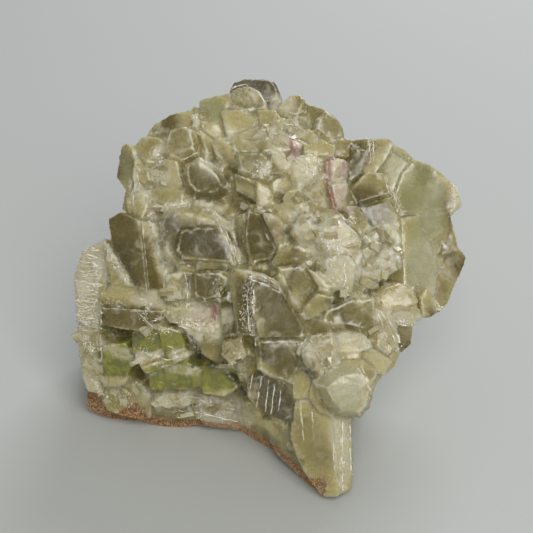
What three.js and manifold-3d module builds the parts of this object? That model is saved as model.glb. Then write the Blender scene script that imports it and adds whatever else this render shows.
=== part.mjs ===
// A cluster of blocky, see-through crystals grown together, cut off flat where it stood on rock.
// Millimetres, +Z up. The origin is on the floor, under the middle of the cluster, and the
// front faces -Y. The crystals of the front are drawn by the outlines of their faces as one
// viewpoint in front sees them. Those of the back and sides are set round the mass by rule.
import * as THREE from 'three';
import { ConvexGeometry } from 'three/addons/geometries/ConvexGeometry.js';
import { mergeVertices } from 'three/addons/utils/BufferGeometryUtils.js';
import Module from 'manifold-3d';

// Driving dimensions
const WIDTH = 118; // from the left edge to the corner of the wing
const VIEW_DISTANCE = 480; // from the viewpoint to the picture plane
const VIEW_ELEVATION = THREE.MathUtils.degToRad(30);
const PLANE_HEIGHT = 51.5; // of the picture plane's centre above the floor
const HEART = new THREE.Vector3(0, 10, 42); // where the crystals grow outwards from
const FLARE = 1.16; // how much wider a crystal is at its root than at its face
const MASS_TAPER = 0.85; // how much narrower a lump of the mass is at its root
const MERGE_DISTANCE = 1e-4;
const FLOOR_SIZE = 400; // of the block that cuts the cluster off flat

// The crystals of the back and sides
const BACK_SPACING = 18; // between their middles
const BACK_RADIUS = [8.6, 14.4]; // least and most, of a crystal's face
const BACK_SPOKES = [0.85, 1.15]; // least and most, a face's corner in shares of the radius
const BACK_SHARES = [1, 0.6]; // of its size, tried in turn until a crystal is out of sight
const BACK_RISE = [0.8, 4.2]; // least and most, how far a crystal stands out of the mass
const BACK_ROOT = 10; // how far a crystal reaches into the mass
const BACK_TURN = [0, 0.8]; // least and most, a face's turn in radians
const BACK_LOWEST = 4; // the lowest middle of a crystal, above the floor
const FOUR_SIDED = 0.7; // the share of the crystals with four sides, the others have five
const DRIFT = [-0.2, 0.2]; // least and most, off the even grid, in shares of the spacing
const HIDDEN_SIDES = [[0, 1], [-1, 0.4], [1, 0.4]].map(([x, y]) => new THREE.Vector3(x, y, 0));
const SEED = 7;

// The picture plane, whose picture is 533 pixels square
const PICTURE_CENTRE = 533 / 2;
const LEFT_EDGE_PIXEL = 72;
const WING_CORNER_PIXEL = 467;
const MM_PER_PIXEL = WIDTH / (WING_CORNER_PIXEL - LEFT_EDGE_PIXEL);

const RIGHT = new THREE.Vector3(1, 0, 0);
const UP = new THREE.Vector3(0, Math.sin(VIEW_ELEVATION), Math.cos(VIEW_ELEVATION));
const TOWARD = new THREE.Vector3(0, -Math.cos(VIEW_ELEVATION), Math.sin(VIEW_ELEVATION));
const VIEWPOINT = new THREE.Vector3(0, 0, PLANE_HEIGHT).addScaledVector(TOWARD, VIEW_DISTANCE);

// Each entry below is one crystal:
//   face: its face's outline, in pixels
//   toward: how far the face's middle stands in front of the picture plane
//   lean: how far the face comes forward per millimetre to the right, and per millimetre up
//   deep: how far back the crystal's root lies
//   edge: the width of the worn edge round its face

const CROWN = {
  smokySummit: {
    face: [[229, 87], [233, 79], [245, 75], [264, 75], [275, 78], [281, 88], [283, 101], [270, 105],
      [232, 106]],
    toward: -6, lean: [-0.1, -0.3], deep: 26, edge: 1.6,
  },
  summitFacet: {
    face: [[231, 89], [243, 83], [259, 88], [266, 99], [268, 108], [245, 112], [231, 107]],
    toward: -1.5, lean: [0.15, -0.35], deep: 12, edge: 0.8,
  },
  leftShoulder: {
    face: [[199, 100], [214, 95], [228, 92], [232, 100], [222, 111], [218, 122], [200, 120]],
    toward: -4, lean: [0.4, -0.2], deep: 24,
  },
  faceUnderSummit: {
    face: [[220, 110], [240, 109], [253, 117], [257, 126], [243, 131], [226, 133]],
    toward: 2, lean: [0, -0.5], deep: 16,
  },
  brownCrownFace: {
    face: [[256, 109], [275, 109], [282, 117], [278, 128], [262, 126]],
    toward: 4, lean: [0.2, -0.4], deep: 16,
  },
  rightCrownKnob: {
    face: [[284, 101], [290, 93], [300, 92.5], [306, 98], [304, 108], [298, 117], [286, 114],
      [276, 107]],
    toward: -1, lean: [0.2, -0.3], deep: 22, edge: 0.8,
  },
  rightCrownSlope: {
    face: [[303, 102], [314, 106], [326, 108], [330, 114], [318, 122], [311, 127], [299, 117]],
    toward: -1, lean: [0.1, -0.5], deep: 22,
  },
  rightCrownBlock: {
    face: [[317, 115], [327, 108], [339, 115], [345.5, 127], [346, 138], [331, 143], [313, 129]],
    toward: 2, lean: [-0.3, -0.1], deep: 26, edge: 1.5,
  },
  crownValley: {
    face: [[198, 119], [216, 122], [226, 134], [214, 137], [211, 144], [226, 165], [234, 172],
      [230, 190], [212, 160], [198, 150]],
    toward: -1, lean: [0.1, -0.1], deep: 18,
  },
};

const UPPER_LEFT = {
  backRidge: {
    face: [[145, 136], [153, 123.5], [170, 113.5], [188, 109], [198, 110], [199, 124], [170, 142]],
    toward: -5, lean: [0.2, -0.3], deep: 26,
  },
  smoothShield: {
    face: [[167, 127], [182, 122], [193, 127], [198, 143], [197, 152], [180, 157], [166, 159],
      [161, 147]],
    toward: 3, lean: [0.12, -0.2], deep: 18, edge: 1.6,
  },
  darkLeftBlock: {
    face: [[132, 146], [141, 135.5], [157, 135], [165, 141], [160, 152], [150, 164], [143, 166],
      [135, 158]],
    toward: 0, lean: [0.35, -0.1], deep: 22, edge: 0.8,
  },
  brightChip: {
    face: [[189, 112], [196, 113], [200, 120], [196, 125], [192, 121]],
    toward: 0, lean: [0, 0.4], deep: 9,
  },
  outerBlade: {
    face: [[116, 177], [118.5, 157], [121.5, 144], [128, 142.5], [133, 150], [135, 165],
      [131, 185], [124, 188]],
    toward: -2, lean: [0.6, 0], deep: 18,
  },
  innerBlade: {
    face: [[134, 152], [141, 162], [151, 175], [151, 187], [143, 190], [132, 192], [131, 172]],
    toward: 3, lean: [-0.5, 0], deep: 16,
  },
  clearBlade: {
    face: [[131, 191], [147, 189], [147, 210], [140, 219], [126, 210], [125, 198]],
    toward: 4, lean: [0.3, -0.2], deep: 20,
  },
  bladeFoot: {
    face: [[120.5, 209], [124, 192], [130, 187], [132, 200], [126, 212]],
    toward: -1, lean: [0.3, 0], deep: 18,
  },
  roundedCrystal: {
    face: [[183, 160], [198, 153], [212, 160], [224, 175], [228, 187], [222, 196], [213, 199],
      [192, 197],
      [182, 184], [180, 170]],
    toward: 11, lean: [0.05, 0.15], deep: 20, edge: 2.2,
  },
  frostedLeftFace: {
    face: [[150, 166], [164, 157], [177, 160], [181, 183], [166, 187], [151, 185]],
    toward: 4, lean: [0.4, 0.2], deep: 18,
  },
  brownLeftFace: {
    face: [[149, 188], [166, 187], [182, 190], [184, 203], [166, 207], [150, 208]],
    toward: 6, lean: [0.2, -0.2], deep: 16,
  },
  slabSaddle: {
    face: [[182, 199], [214, 201], [226, 197], [234, 192], [233, 214], [230, 224], [210, 206],
      [184, 204]],
    toward: 6, lean: [0.1, 0.1], deep: 14,
  },
};

const UPPER_MIDDLE = {
  paleEdge: {
    face: [[210, 141], [219, 134], [227, 142], [234, 152], [237, 170], [226, 164], [216, 155]],
    toward: 7, lean: [0.4, -0.1], deep: 16,
  },
  paleRoof: {
    face: [[231, 137], [245, 129], [257, 125], [271, 129], [263, 141], [256, 151], [236, 151]],
    toward: 6, lean: [0.1, -0.45], deep: 16,
  },
  yellowFace: {
    face: [[235, 151], [262, 150], [272, 160], [272, 177], [262, 181], [250, 175], [238, 170]],
    toward: 12, lean: [0.1, -0.15], deep: 18, edge: 1.2,
  },
  frostedRoof: {
    face: [[265, 134], [280, 127], [290, 136], [293, 149], [280, 153], [262, 150]],
    toward: 8, lean: [-0.1, -0.4], deep: 16,
  },
  frostedCube: {
    face: [[271, 154], [285, 151], [289, 167], [282, 174], [271, 173]],
    toward: 13, lean: [0.15, 0.1], deep: 16,
  },
  upperFrost: {
    face: [[281, 117], [292, 117], [303, 129], [297, 140], [284, 135]],
    toward: 4, lean: [0.2, -0.4], deep: 16,
  },
  upperOliveFace: {
    face: [[295, 131], [309, 127], [320, 137], [308, 144], [294, 146]],
    toward: 6, lean: [0, -0.5], deep: 16,
  },
  whiteBlock: {
    face: [[295, 156], [302, 152.5], [318, 152.5], [322, 162], [320, 175], [312, 183], [296, 186],
      [291, 176],
      [290, 165]],
    toward: 14, lean: [0.1, 0.1], deep: 18, edge: 1.2,
  },
  paleLedge: {
    face: [[305, 144], [321, 138], [337, 146], [334, 156], [320, 155], [303, 152]],
    toward: 9, lean: [0, -0.4], deep: 16,
  },
  linkFace: {
    face: [[331, 141], [344, 138], [352, 139], [350, 157], [336, 155]],
    toward: 3, lean: [0.1, -0.3], deep: 16,
  },
  oliveCheek: {
    face: [[272, 175], [290, 172], [296, 187], [288, 191], [273, 192]],
    toward: 11, lean: [0.1, 0], deep: 14,
  },
};

const STAINED = {
  stainedTop: {
    face: [[328, 158], [338, 155], [349, 157], [352, 168], [349, 178], [330, 179]],
    toward: 12, lean: [-0.35, 0.1], deep: 18, edge: 1.6,
  },
  stainedFoot: {
    face: [[329, 180], [349, 179], [352, 190], [346, 205], [337, 211], [331, 197]],
    toward: 13, lean: [-0.35, 0], deep: 18, edge: 1.6,
  },
  greyLeftChip: {
    face: [[310, 184], [325, 177], [329, 198], [320, 207], [304, 199]],
    toward: 11, lean: [0.3, 0.1], deep: 16,
  },
};

const MIDDLE = {
  tanLath: {
    face: [[234, 172], [256, 180], [263, 200], [254, 200], [236, 190]],
    toward: 12, lean: [0.2, 0.3], deep: 14,
  },
  tanLathEnd: {
    face: [[256, 180], [269, 184], [274, 196], [268, 208], [262, 213], [256, 205]],
    toward: 14, lean: [-0.1, 0], deep: 16,
  },
  oliveWedge: {
    face: [[273, 205], [290, 199], [304, 201], [308, 214], [297, 221], [284, 219]],
    toward: 15, lean: [0.1, -0.25], deep: 16,
  },
  smallWhiteFace: {
    face: [[284, 190], [302, 186], [305, 199], [290, 200]],
    toward: 13, lean: [0, 0.3], deep: 12,
  },
  greySlab: {
    face: [[150, 226], [158, 210], [170, 205], [187, 203], [208, 207], [222, 216], [234, 242],
      [238, 263],
      [228, 269], [172, 272], [157, 256]],
    toward: 12, lean: [0.1, 0], deep: 22, edge: 3,
  },
  stepOnSlab: {
    face: [[180, 230], [200, 227], [222, 226], [231, 246], [234, 263], [181, 259], [176, 250]],
    toward: 14, lean: [0.12, 0], deep: 10, edge: 0.6,
  },
  paleTallBlade: {
    face: [[261, 212], [272, 213], [284, 219], [288, 231], [286, 244], [278, 249], [271, 231]],
    toward: 18, lean: [-0.1, 0.1], deep: 14,
  },
  darkMiddleBlock: {
    face: [[247, 207], [260, 211], [271, 231], [279, 250], [272, 262], [249, 266], [242, 240]],
    toward: 15, lean: [0.25, 0.1], deep: 18, edge: 1.2,
  },
  brownNiche: {
    face: [[235, 192], [255, 200], [258, 211], [246, 215], [230, 215]],
    toward: 8, lean: [0, 0.2], deep: 12,
  },
  greyVeil: {
    face: [[231, 219], [244, 212], [249, 266], [239, 266]],
    toward: 12, lean: [0.3, 0], deep: 16,
  },
  brightKnob: {
    face: [[291, 223], [299, 216], [311, 216], [318, 227], [314, 243], [302, 243], [290, 234]],
    toward: 21, lean: [0.1, 0.1], deep: 18, edge: 1.4,
  },
  brownChip: {
    face: [[287, 230], [296, 237], [315, 245], [312, 252], [296, 248], [284, 243]],
    toward: 17, lean: [0, 0], deep: 12,
  },
  lowerCheek: {
    face: [[278, 251], [295, 246], [313, 251], [308, 266], [285, 266], [270, 264]],
    toward: 18, lean: [0.1, 0.3], deep: 16,
  },
  oliveSlope: {
    face: [[277, 267], [300, 263], [317, 281], [322, 296], [303, 311], [291, 303], [284, 287]],
    toward: 22, lean: [-0.1, 0.2], deep: 18, edge: 1,
  },
  whiteShard: {
    face: [[306, 267], [316, 272], [333, 286], [329, 292], [320, 289]],
    toward: 25, lean: [0.1, 0], deep: 12,
  },
  paleFacet: {
    face: [[302, 311], [317, 293.5], [336, 297], [331, 306], [318, 317], [307, 321]],
    toward: 27, lean: [0.1, 0.25], deep: 16,
  },
  brownShelf: {
    face: [[325, 310], [350, 298], [376, 297], [378, 328], [371, 336], [340, 333], [320, 321]],
    toward: 20, lean: [-0.1, 0.15], deep: 20, edge: 1,
  },
};

const UPRIGHT = {
  uprightFront: {
    face: [[251, 279], [281, 288], [286, 300], [304, 328], [301, 337], [259, 338], [252, 310]],
    toward: 29, lean: [-0.25, 0.05], deep: 24,
  },
  uprightTop: {
    face: [[248, 270], [263, 273], [280, 281], [281, 288], [262, 283], [250, 279]],
    toward: 27, lean: [-0.2, -0.9], deep: 18,
  },
  uprightLeft: {
    face: [[231, 269], [249, 270], [251, 300], [254, 336], [238, 334], [234, 300], [229, 288]],
    toward: 25, lean: [0.45, 0], deep: 22,
  },
  leftCompanion: {
    face: [[192, 271], [222, 270], [230, 276], [228, 287], [217, 300], [203, 303], [192, 297]],
    toward: 18, lean: [0.1, 0.1], deep: 18, edge: 1.2,
  },
  frostedStub: {
    face: [[163, 275], [180, 271], [191, 272], [189, 299], [166, 301]],
    toward: 14, lean: [0.1, 0.1], deep: 18,
  },
  darkPost: {
    face: [[219, 301], [234, 299], [238, 334], [222, 336]],
    toward: 17, lean: [0.4, 0], deep: 16,
  },
  frostedBed: {
    face: [[167, 303], [186, 306], [203, 305], [217, 303], [220, 328], [198, 332], [180, 328],
      [165, 315]],
    toward: 12, lean: [0.1, -0.3], deep: 18,
  },
  frostedRecess: {
    face: [[183, 331], [220, 330], [240, 335], [256, 338], [258, 372], [248, 382], [226, 368],
      [196, 352]],
    toward: 13, lean: [0.15, 0.3], deep: 24,
  },
  glassyStub: {
    face: [[222, 341], [242, 338], [247, 358], [231, 362], [222, 352]],
    toward: 19, lean: [0.1, 0.1], deep: 14,
  },
  frontFootBlock: {
    face: [[256, 339], [301, 338], [304, 362], [293, 371], [292, 386], [270, 379], [257, 371]],
    toward: 26, lean: [-0.1, 0.1], deep: 26, edge: 1.2,
  },
  stripedWindow: {
    face: [[247, 380], [268, 374], [292, 388], [295, 412], [283, 422], [258, 411], [248, 398]],
    toward: 20, lean: [0.1, 0.25], deep: 24,
  },
  tanFacet: {
    face: [[293, 368], [304, 362], [313, 380], [309, 400], [293, 400]],
    toward: 25, lean: [0.2, 0.1], deep: 18,
  },
  thinWedge: {
    face: [[309, 400], [313, 378], [320, 400], [334, 419], [320, 414]],
    toward: 26, lean: [-0.1, 0.1], deep: 16,
  },
};

const LOWER_LEFT = {
  leftPrismFront: {
    face: [[107.5, 219], [120, 211], [139, 220], [142, 243], [147, 294], [134, 286], [126, 262],
      [110, 243]],
    toward: 9, lean: [0.3, 0.05], deep: 22,
  },
  leftPrismSide: {
    face: [[139, 220], [150, 222], [158, 243], [164, 268], [162, 298], [147, 294], [142, 243]],
    toward: 10, lean: [-0.6, 0], deep: 22,
  },
  fibreFan: {
    face: [[80, 252], [90, 245], [105, 238.5], [108, 252], [106, 285], [98, 290], [97, 330], [75, 322],
      [73, 278]],
    toward: 0, lean: [0.3, 0], deep: 28,
  },
  whiteFacet: {
    face: [[103, 243], [110, 249], [124, 258], [129, 272], [134, 287], [110, 284], [105, 262]],
    toward: 6, lean: [0.2, -0.1], deep: 18,
  },
  bigBlockTop: {
    face: [[99, 297], [110, 282], [133, 287], [150, 294], [165, 300], [165, 311], [130, 311],
      [100, 307]],
    toward: 8, lean: [0.1, -0.8], deep: 22,
  },
  bigBlockFront: {
    face: [[100, 307], [130, 311], [165, 311], [155, 322], [140, 332], [120, 329], [101, 326]],
    toward: 10.5, lean: [0.1, 0.15], deep: 24,
  },
  leftColumn: {
    face: [[75, 324], [97, 329], [102, 345], [101, 395], [86, 392], [81, 377], [79, 350]],
    toward: -6, lean: [0.3, 0.3], deep: 30,
  },
  greenBlockLeft: {
    face: [[101, 346], [125, 343], [133, 360], [124, 386], [102, 388]],
    toward: -1, lean: [0.2, 0.4], deep: 26,
  },
  greenBlockMiddle: {
    face: [[131, 333], [157, 329], [161, 350], [146, 356], [131, 353]],
    toward: 6, lean: [0.1, 0.2], deep: 24,
  },
  greenBlockRight: {
    face: [[157, 326], [180, 331], [186, 346], [176, 353], [161, 351]],
    toward: 8, lean: [-0.1, 0.3], deep: 24,
  },
  paleSplinter: {
    face: [[127, 364], [140, 353], [157, 351], [158, 357], [142, 363], [130, 368]],
    toward: 5, lean: [0.1, 0], deep: 20,
  },
  lightBlade: {
    face: [[138, 368], [150, 363.5], [186, 352], [190, 358], [157, 372], [145, 375]],
    toward: 7, lean: [0.15, 0], deep: 20, edge: 0.6,
  },
  greenFace: {
    face: [[147, 377], [182, 360], [200, 370], [202, 386], [190, 390], [150, 391]],
    toward: 4, lean: [0.1, 0.4], deep: 28,
  },
  greenRightEnd: {
    face: [[202, 366], [225, 367], [238, 388], [225, 398], [203, 394]],
    toward: 7, lean: [0.2, 0.4], deep: 28,
  },
  paleOvalBlock: {
    face: [[151, 398], [164, 391], [190, 392], [194, 406], [166, 412], [152, 408]],
    toward: -4, lean: [0.05, 0.3], deep: 30, edge: 1.4,
  },
  whiteSteppedBlock: {
    face: [[194, 397], [212, 396], [234, 406], [241, 431], [222, 427], [203, 426], [194, 412]],
    toward: -9, lean: [0.1, 0.8], deep: 34,
  },
  stainedFront: {
    face: [[102, 388], [126, 386], [141, 384], [151, 398], [150, 418], [137, 420], [106, 412]],
    toward: -10, lean: [0.1, 0.5], deep: 30,
  },
  brownHeel: {
    face: [[86.5, 392], [106, 398], [130, 404], [140, 421], [122, 422], [100, 416], [86, 408]],
    toward: -19, lean: [0.15, 0.5], deep: 30,
  },
  brownEdge: {
    face: [[140, 404], [176, 411], [204, 413], [210, 426], [165, 428], [150, 423], [138, 421]],
    toward: -15.5, lean: [0.15, 0.5], deep: 30,
  },
  brownSkirt: {
    face: [[228, 398], [250, 404], [275, 424], [279, 458], [264, 446], [252, 434], [236, 430]],
    toward: -8, lean: [1.4, 0.9], deep: 36,
  },
};

const TIP = {
  tipLeftFace: {
    face: [[295, 402], [315, 400], [333, 420], [340, 497], [325, 499], [303, 472], [290, 440]],
    toward: 20, lean: [0.3, 0.3], deep: 30,
  },
  tipRightFace: {
    face: [[333, 420], [352, 419], [354, 472], [352, 489], [346, 494], [340, 496]],
    toward: 18, lean: [-0.6, 0.3], deep: 30,
  },
  tipSkirt: {
    face: [[262, 420], [290, 424], [304, 452], [325, 499], [309, 487], [291, 469], [276, 454]],
    toward: 9, lean: [1.5, 0.9], deep: 34,
  },
};

const LOWER_RIGHT = {
  frostedBoss: {
    face: [[302, 346], [312, 338], [335, 334], [341, 350], [336, 370], [322, 379], [306, 367],
      [301, 356]],
    toward: 30, lean: [0.1, 0.1], deep: 24, edge: 1.6,
  },
  beigeRoof: {
    face: [[334, 335], [348, 331], [367, 336], [375, 348], [360, 353], [341, 352]],
    toward: 27, lean: [-0.1, -0.4], deep: 22,
  },
  yellowFlank: {
    face: [[341, 352], [374, 349], [394, 362], [385, 377], [372, 373], [346, 364]],
    toward: 24, lean: [-0.5, -0.1], deep: 24,
  },
  roundedCube: {
    face: [[330, 371], [348, 364], [366, 364], [381, 377], [376, 394], [374, 412], [363, 422],
      [338, 420],
      [323, 404], [317, 387]],
    toward: 31, lean: [0, 0.05], deep: 26, edge: 3,
  },
  cubeFlank: {
    face: [[370, 372], [385, 372], [383, 377], [375, 388], [370, 396]],
    toward: 20, lean: [-0.6, 0], deep: 22,
  },
  glassShard: {
    face: [[378, 309], [391, 312], [399, 328], [400, 350], [386, 355], [378, 345]],
    toward: 17, lean: [-0.4, 0.1], deep: 22,
  },
  shardBack: {
    face: [[392, 313], [414, 326], [412, 344], [402, 353], [392, 346]],
    toward: 6, lean: [-0.4, 0.1], deep: 22,
  },
  shardFoot: {
    face: [[376, 349], [402, 352], [396, 366], [385, 377], [372, 373]],
    toward: 15, lean: [-0.4, 0.1], deep: 24,
  },
};

const RIGHT_SIDE = {
  butterBlock: {
    face: [[375, 298], [390, 284], [403, 283], [417, 291], [422, 303], [412, 310], [395, 312],
      [380, 308]],
    toward: 16, lean: [-0.1, -0.2], deep: 24, edge: 1.5,
  },
  butterBlockFoot: {
    face: [[382, 309], [396, 311], [421, 309], [424, 320], [413, 327], [400, 327]],
    toward: 14, lean: [-0.2, 0.4], deep: 24,
  },
  lightFin: {
    face: [[421, 297], [428, 286], [436, 299], [443, 311], [430, 318], [423, 318]],
    toward: 7, lean: [-0.4, 0], deep: 22,
  },
  oliveNotch: {
    face: [[355, 261], [368, 245], [382, 250], [373, 264], [364, 269]],
    toward: 16, lean: [0.1, 0.2], deep: 14,
  },
  glitterBlock: {
    face: [[373, 263], [385, 247], [401, 249], [404, 268], [389, 276], [374, 270]],
    toward: 19, lean: [0, 0.1], deep: 20,
  },
  tanCube: {
    face: [[361, 269], [386, 269], [389, 276], [370, 289], [361, 286]],
    toward: 21, lean: [0.1, 0.1], deep: 20,
  },
  whiteSplinter: {
    face: [[381, 226], [388, 222], [402, 236], [403, 245], [395, 243]],
    toward: 18, lean: [0.1, 0], deep: 16,
  },
  splinterBed: {
    face: [[364, 236], [380, 228], [402, 242], [402, 251], [380, 251], [365, 247]],
    toward: 14, lean: [-0.1, 0.1], deep: 16,
  },
  paleDome: {
    face: [[318, 226], [330, 216], [346, 220], [360, 231], [364, 245], [353, 262], [330, 259],
      [318, 243]],
    toward: 23, lean: [0, 0.05], deep: 22, edge: 1.8,
  },
  sparklingColumn: {
    face: [[323, 259], [350, 254], [358, 266], [351, 298], [331, 285], [320, 271]],
    toward: 25, lean: [0.15, 0.1], deep: 22,
  },
  greyGreenColumn: {
    face: [[353, 264], [363, 250], [367, 288], [352, 299]],
    toward: 21, lean: [-0.3, 0.1], deep: 20,
  },
  upperSaddle: {
    face: [[305, 200], [322, 206], [338, 211], [348, 220], [330, 219], [311, 219]],
    toward: 16, lean: [0.1, -0.25], deep: 16,
  },
  sideSaddle: {
    face: [[346, 206], [358, 205], [374, 229], [364, 238], [352, 225]],
    toward: 12, lean: [-0.3, 0], deep: 18,
  },
};

// The thin wing, whose faces are broken like shells
const WING = {
  wingTopPanel: {
    face: [[345, 139], [370, 137.5], [392, 137.5], [395, 146], [381, 168], [369, 168], [350, 187]],
    toward: 1, lean: [0.25, -0.1], deep: 14,
  },
  wingSecondPanel: {
    face: [[394, 143], [405, 147.5], [416, 159], [408, 176], [395, 196], [380, 168]],
    toward: -3, lean: [-0.15, 0.3], deep: 14,
  },
  wingThirdPanel: {
    face: [[404, 172], [416, 159], [431, 164], [440, 200], [420, 250], [402, 218], [395, 195]],
    toward: -3, lean: [-0.3, 0.2], deep: 14,
  },
  wingOuterPanel: {
    face: [[430, 164], [445, 175], [451, 183], [450, 216], [447, 250], [437, 275], [415, 250],
      [418, 200]],
    toward: -5, lean: [-0.15, 0.1], deep: 14,
  },
  wingLowerPanel: {
    face: [[402, 218], [420, 215], [440, 262], [436, 296], [422, 300], [404, 285]],
    toward: 2, lean: [-0.45, -0.1], deep: 14,
  },
  wingWhiteLip: {
    face: [[448, 178], [460, 189], [463, 205], [452, 217], [446, 200]],
    toward: -5.5, lean: [-0.2, 0], deep: 13,
  },
  wingNotch: {
    face: [[446, 214], [452, 217], [454, 232], [460, 250], [442, 256]],
    toward: -7, lean: [-0.2, -0.2], deep: 14,
  },
  wingCorner: {
    face: [[441, 248], [461, 249], [467, 257], [466, 264], [455, 288], [440, 280]],
    toward: -8, lean: [-0.2, -0.2], deep: 14,
  },
  wingLowerCorner: {
    face: [[436, 270], [456, 284], [449, 303], [443, 311], [430, 300]],
    toward: -5, lean: [-0.3, -0.2], deep: 14,
  },
  innerBowl: {
    face: [[350, 190], [369, 170], [386, 173], [393, 194], [372, 204], [358, 206]],
    toward: 4, lean: [-0.15, 0.4], deep: 16,
  },
  innerBowlFloor: {
    face: [[358, 206], [392, 196], [402, 218], [403, 240], [388, 226], [373, 229]],
    toward: 7, lean: [-0.1, -0.2], deep: 14,
  },
};

// The grown-together mass behind the faces, as convex lumps that narrow towards their roots.
// A lump has one length more, sinks: how far its root lies lower, per millimetre back.
const MASS = {
  middleMass: {
    face: [[210, 150], [262, 112], [330, 135], [350, 200], [372, 300], [330, 370], [262, 390],
      [180, 290],
      [160, 190]],
    toward: 4, lean: [0.1, 0.1], deep: 52, edge: 5, sinks: 2.2,
  },
  frontMass: {
    face: [[276, 262], [340, 240], [372, 262], [376, 370], [340, 405], [262, 385], [240, 300]],
    toward: 18, lean: [0, 0.1], deep: 58, edge: 3, sinks: 0.8,
  },
  wingMass: {
    face: [[344, 142], [394, 148], [440, 180], [448, 230], [448, 286], [420, 306], [350, 330]],
    toward: -4, lean: [-0.2, 0.1], deep: 17, edge: 2, sinks: 0.6,
  },
  lowerLeftMass: {
    face: [[80, 262], [160, 230], [256, 330], [262, 400], [236, 424], [100, 412], [82, 350]],
    toward: -6, lean: [0.2, 0.3], deep: 34, edge: 3, sinks: 0.6,
  },
  tipMass: {
    face: [[262, 376], [330, 330], [362, 378], [350, 412], [348, 468], [322, 482], [272, 428]],
    toward: 17, lean: [0.15, 0.1], deep: 66, edge: 3, sinks: 0.2,
  },
  crownMass: {
    face: [[206, 106], [236, 88], [274, 86], [336, 124], [344, 190], [200, 190]],
    toward: -4, lean: [0, -0.2], deep: 62, edge: 3, sinks: 6,
  },
  shoulderMass: {
    face: [[124, 160], [150, 134], [196, 116], [240, 150], [240, 250], [128, 240]],
    toward: -1, lean: [0.2, -0.1], deep: 58, edge: 3, sinks: 3,
  },
};

// The point seen at pixel (x, y), this far in front of the picture plane
function seenAt(x, y, toward) {
  const scale = MM_PER_PIXEL * (1 - toward / VIEW_DISTANCE);
  return new THREE.Vector3(0, 0, PLANE_HEIGHT)
    .addScaledVector(RIGHT, (x - PICTURE_CENTRE) * scale)
    .addScaledVector(UP, (PICTURE_CENTRE - y) * scale)
    .addScaledVector(TOWARD, toward);
}

const wasm = await Module();
wasm.setup();

// A closed geometry as a solid
function solidOf(geometry) {
  const bare = geometry.clone();
  bare.deleteAttribute('normal');
  bare.deleteAttribute('uv');
  const merged = mergeVertices(bare, MERGE_DISTANCE);
  return new wasm.Manifold(new wasm.Mesh({
    numProp: 3,
    vertProperties: merged.attributes.position.array,
    triVerts: new Uint32Array(merged.index.array),
  }));
}

// A convex crystal from its face's corners, which are joined to a root that is set back by
// this much along a direction and flared. A worn edge adds a ring inside and a ring below.
function grown(corners, backwards, deep, edge, flare) {
  const middle = new THREE.Vector3();
  corners.forEach((corner) => middle.addScaledVector(corner, 1 / corners.length));
  const root = middle.clone().addScaledVector(backwards, deep);
  const points = [];
  for (const corner of corners) {
    const inward = middle.clone().sub(corner);
    if (edge > 0) {
      points.push(corner.clone().addScaledVector(inward, edge / inward.length()));
      points.push(corner.clone().addScaledVector(backwards, edge));
    } else {
      points.push(corner.clone());
    }
    points.push(root.clone().addScaledVector(inward, -flare));
  }
  return solidOf(new ConvexGeometry(points));
}

// A crystal whose face is seen in the picture, as an entry above describes it
function seenCrystal({ face, toward, lean, deep, edge = 0 }, backwards, flare) {
  const middleX = face.reduce((sum, corner) => sum + corner[0], 0) / face.length;
  const middleY = face.reduce((sum, corner) => sum + corner[1], 0) / face.length;
  const corners = face.map(([x, y]) => {
    const forward = lean[0] * (x - middleX) + lean[1] * (middleY - y);
    return seenAt(x, y, toward + forward * MM_PER_PIXEL);
  });
  if (backwards) {
    return grown(corners, backwards, deep, edge, flare);
  }
  const inwards = HEART.clone().sub(seenAt(middleX, middleY, toward)).normalize();
  return grown(corners, inwards.sub(TOWARD).normalize(), deep, edge, flare);
}

// A lump of the mass, whose root lies back and lower
function lump(entry) {
  return seenCrystal(entry, new THREE.Vector3(0, 1, -entry.sinks).normalize(), MASS_TAPER);
}

// A function that gives random numbers between two ends, the same ones each time
function randomFrom(seed) {
  let state = seed;
  return ([least, most]) => {
    state = (state * 1664525 + 1013904223) % 2 ** 32;
    return least + (most - least) * (state / 2 ** 32);
  };
}

// A three.js mesh of a solid, with its shared vertices merged
function geometryOf(solid) {
  const { vertProperties, triVerts } = solid.getMesh();
  const geometry = new THREE.BufferGeometry();
  geometry.setAttribute('position', new THREE.BufferAttribute(vertProperties, 3));
  geometry.setIndex(new THREE.BufferAttribute(triVerts, 1));
  geometry.computeVertexNormals();
  return geometry;
}

// Whether the cluster stands between the viewpoint and this point
function isHidden(point, skin) {
  const sight = point.clone().sub(VIEWPOINT);
  const distance = sight.length();
  const hit = new THREE.Raycaster(VIEWPOINT, sight.normalize()).intersectObject(skin)[0];
  return hit !== undefined && hit.distance < distance;
}

// A blocky crystal that stands out of the mass, at its full size or smaller so that it is out
// of sight, or none where even the smaller one would be seen
function hiddenCrystal(point, outward, skin, random) {
  const across = new THREE.Vector3(0, 0, 1).cross(outward).normalize();
  const along = outward.clone().cross(across);
  const middle = point.clone().addScaledVector(outward, random(BACK_RISE));
  const radius = random(BACK_RADIUS);
  const turn = random(BACK_TURN);
  const sides = random([0, 1]) < FOUR_SIDED ? 4 : 5;
  const spokes = Array.from({ length: sides }, (_, side) => {
    const angle = turn + (side / sides) * 2 * Math.PI;
    const length = radius * random(BACK_SPOKES);
    return across.clone().multiplyScalar(Math.cos(angle) * length)
      .addScaledVector(along, Math.sin(angle) * length);
  });
  const corners = BACK_SHARES
    .map((share) => spokes.map((spoke) => middle.clone().addScaledVector(spoke, share)))
    .find((outline) => outline.every((corner) => isHidden(corner, skin)
      && isHidden(corner.clone().addScaledVector(outward, -BACK_ROOT), skin)));
  return corners ? [grown(corners, outward.clone().negate(), BACK_ROOT, 0, 1)] : [];
}

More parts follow.
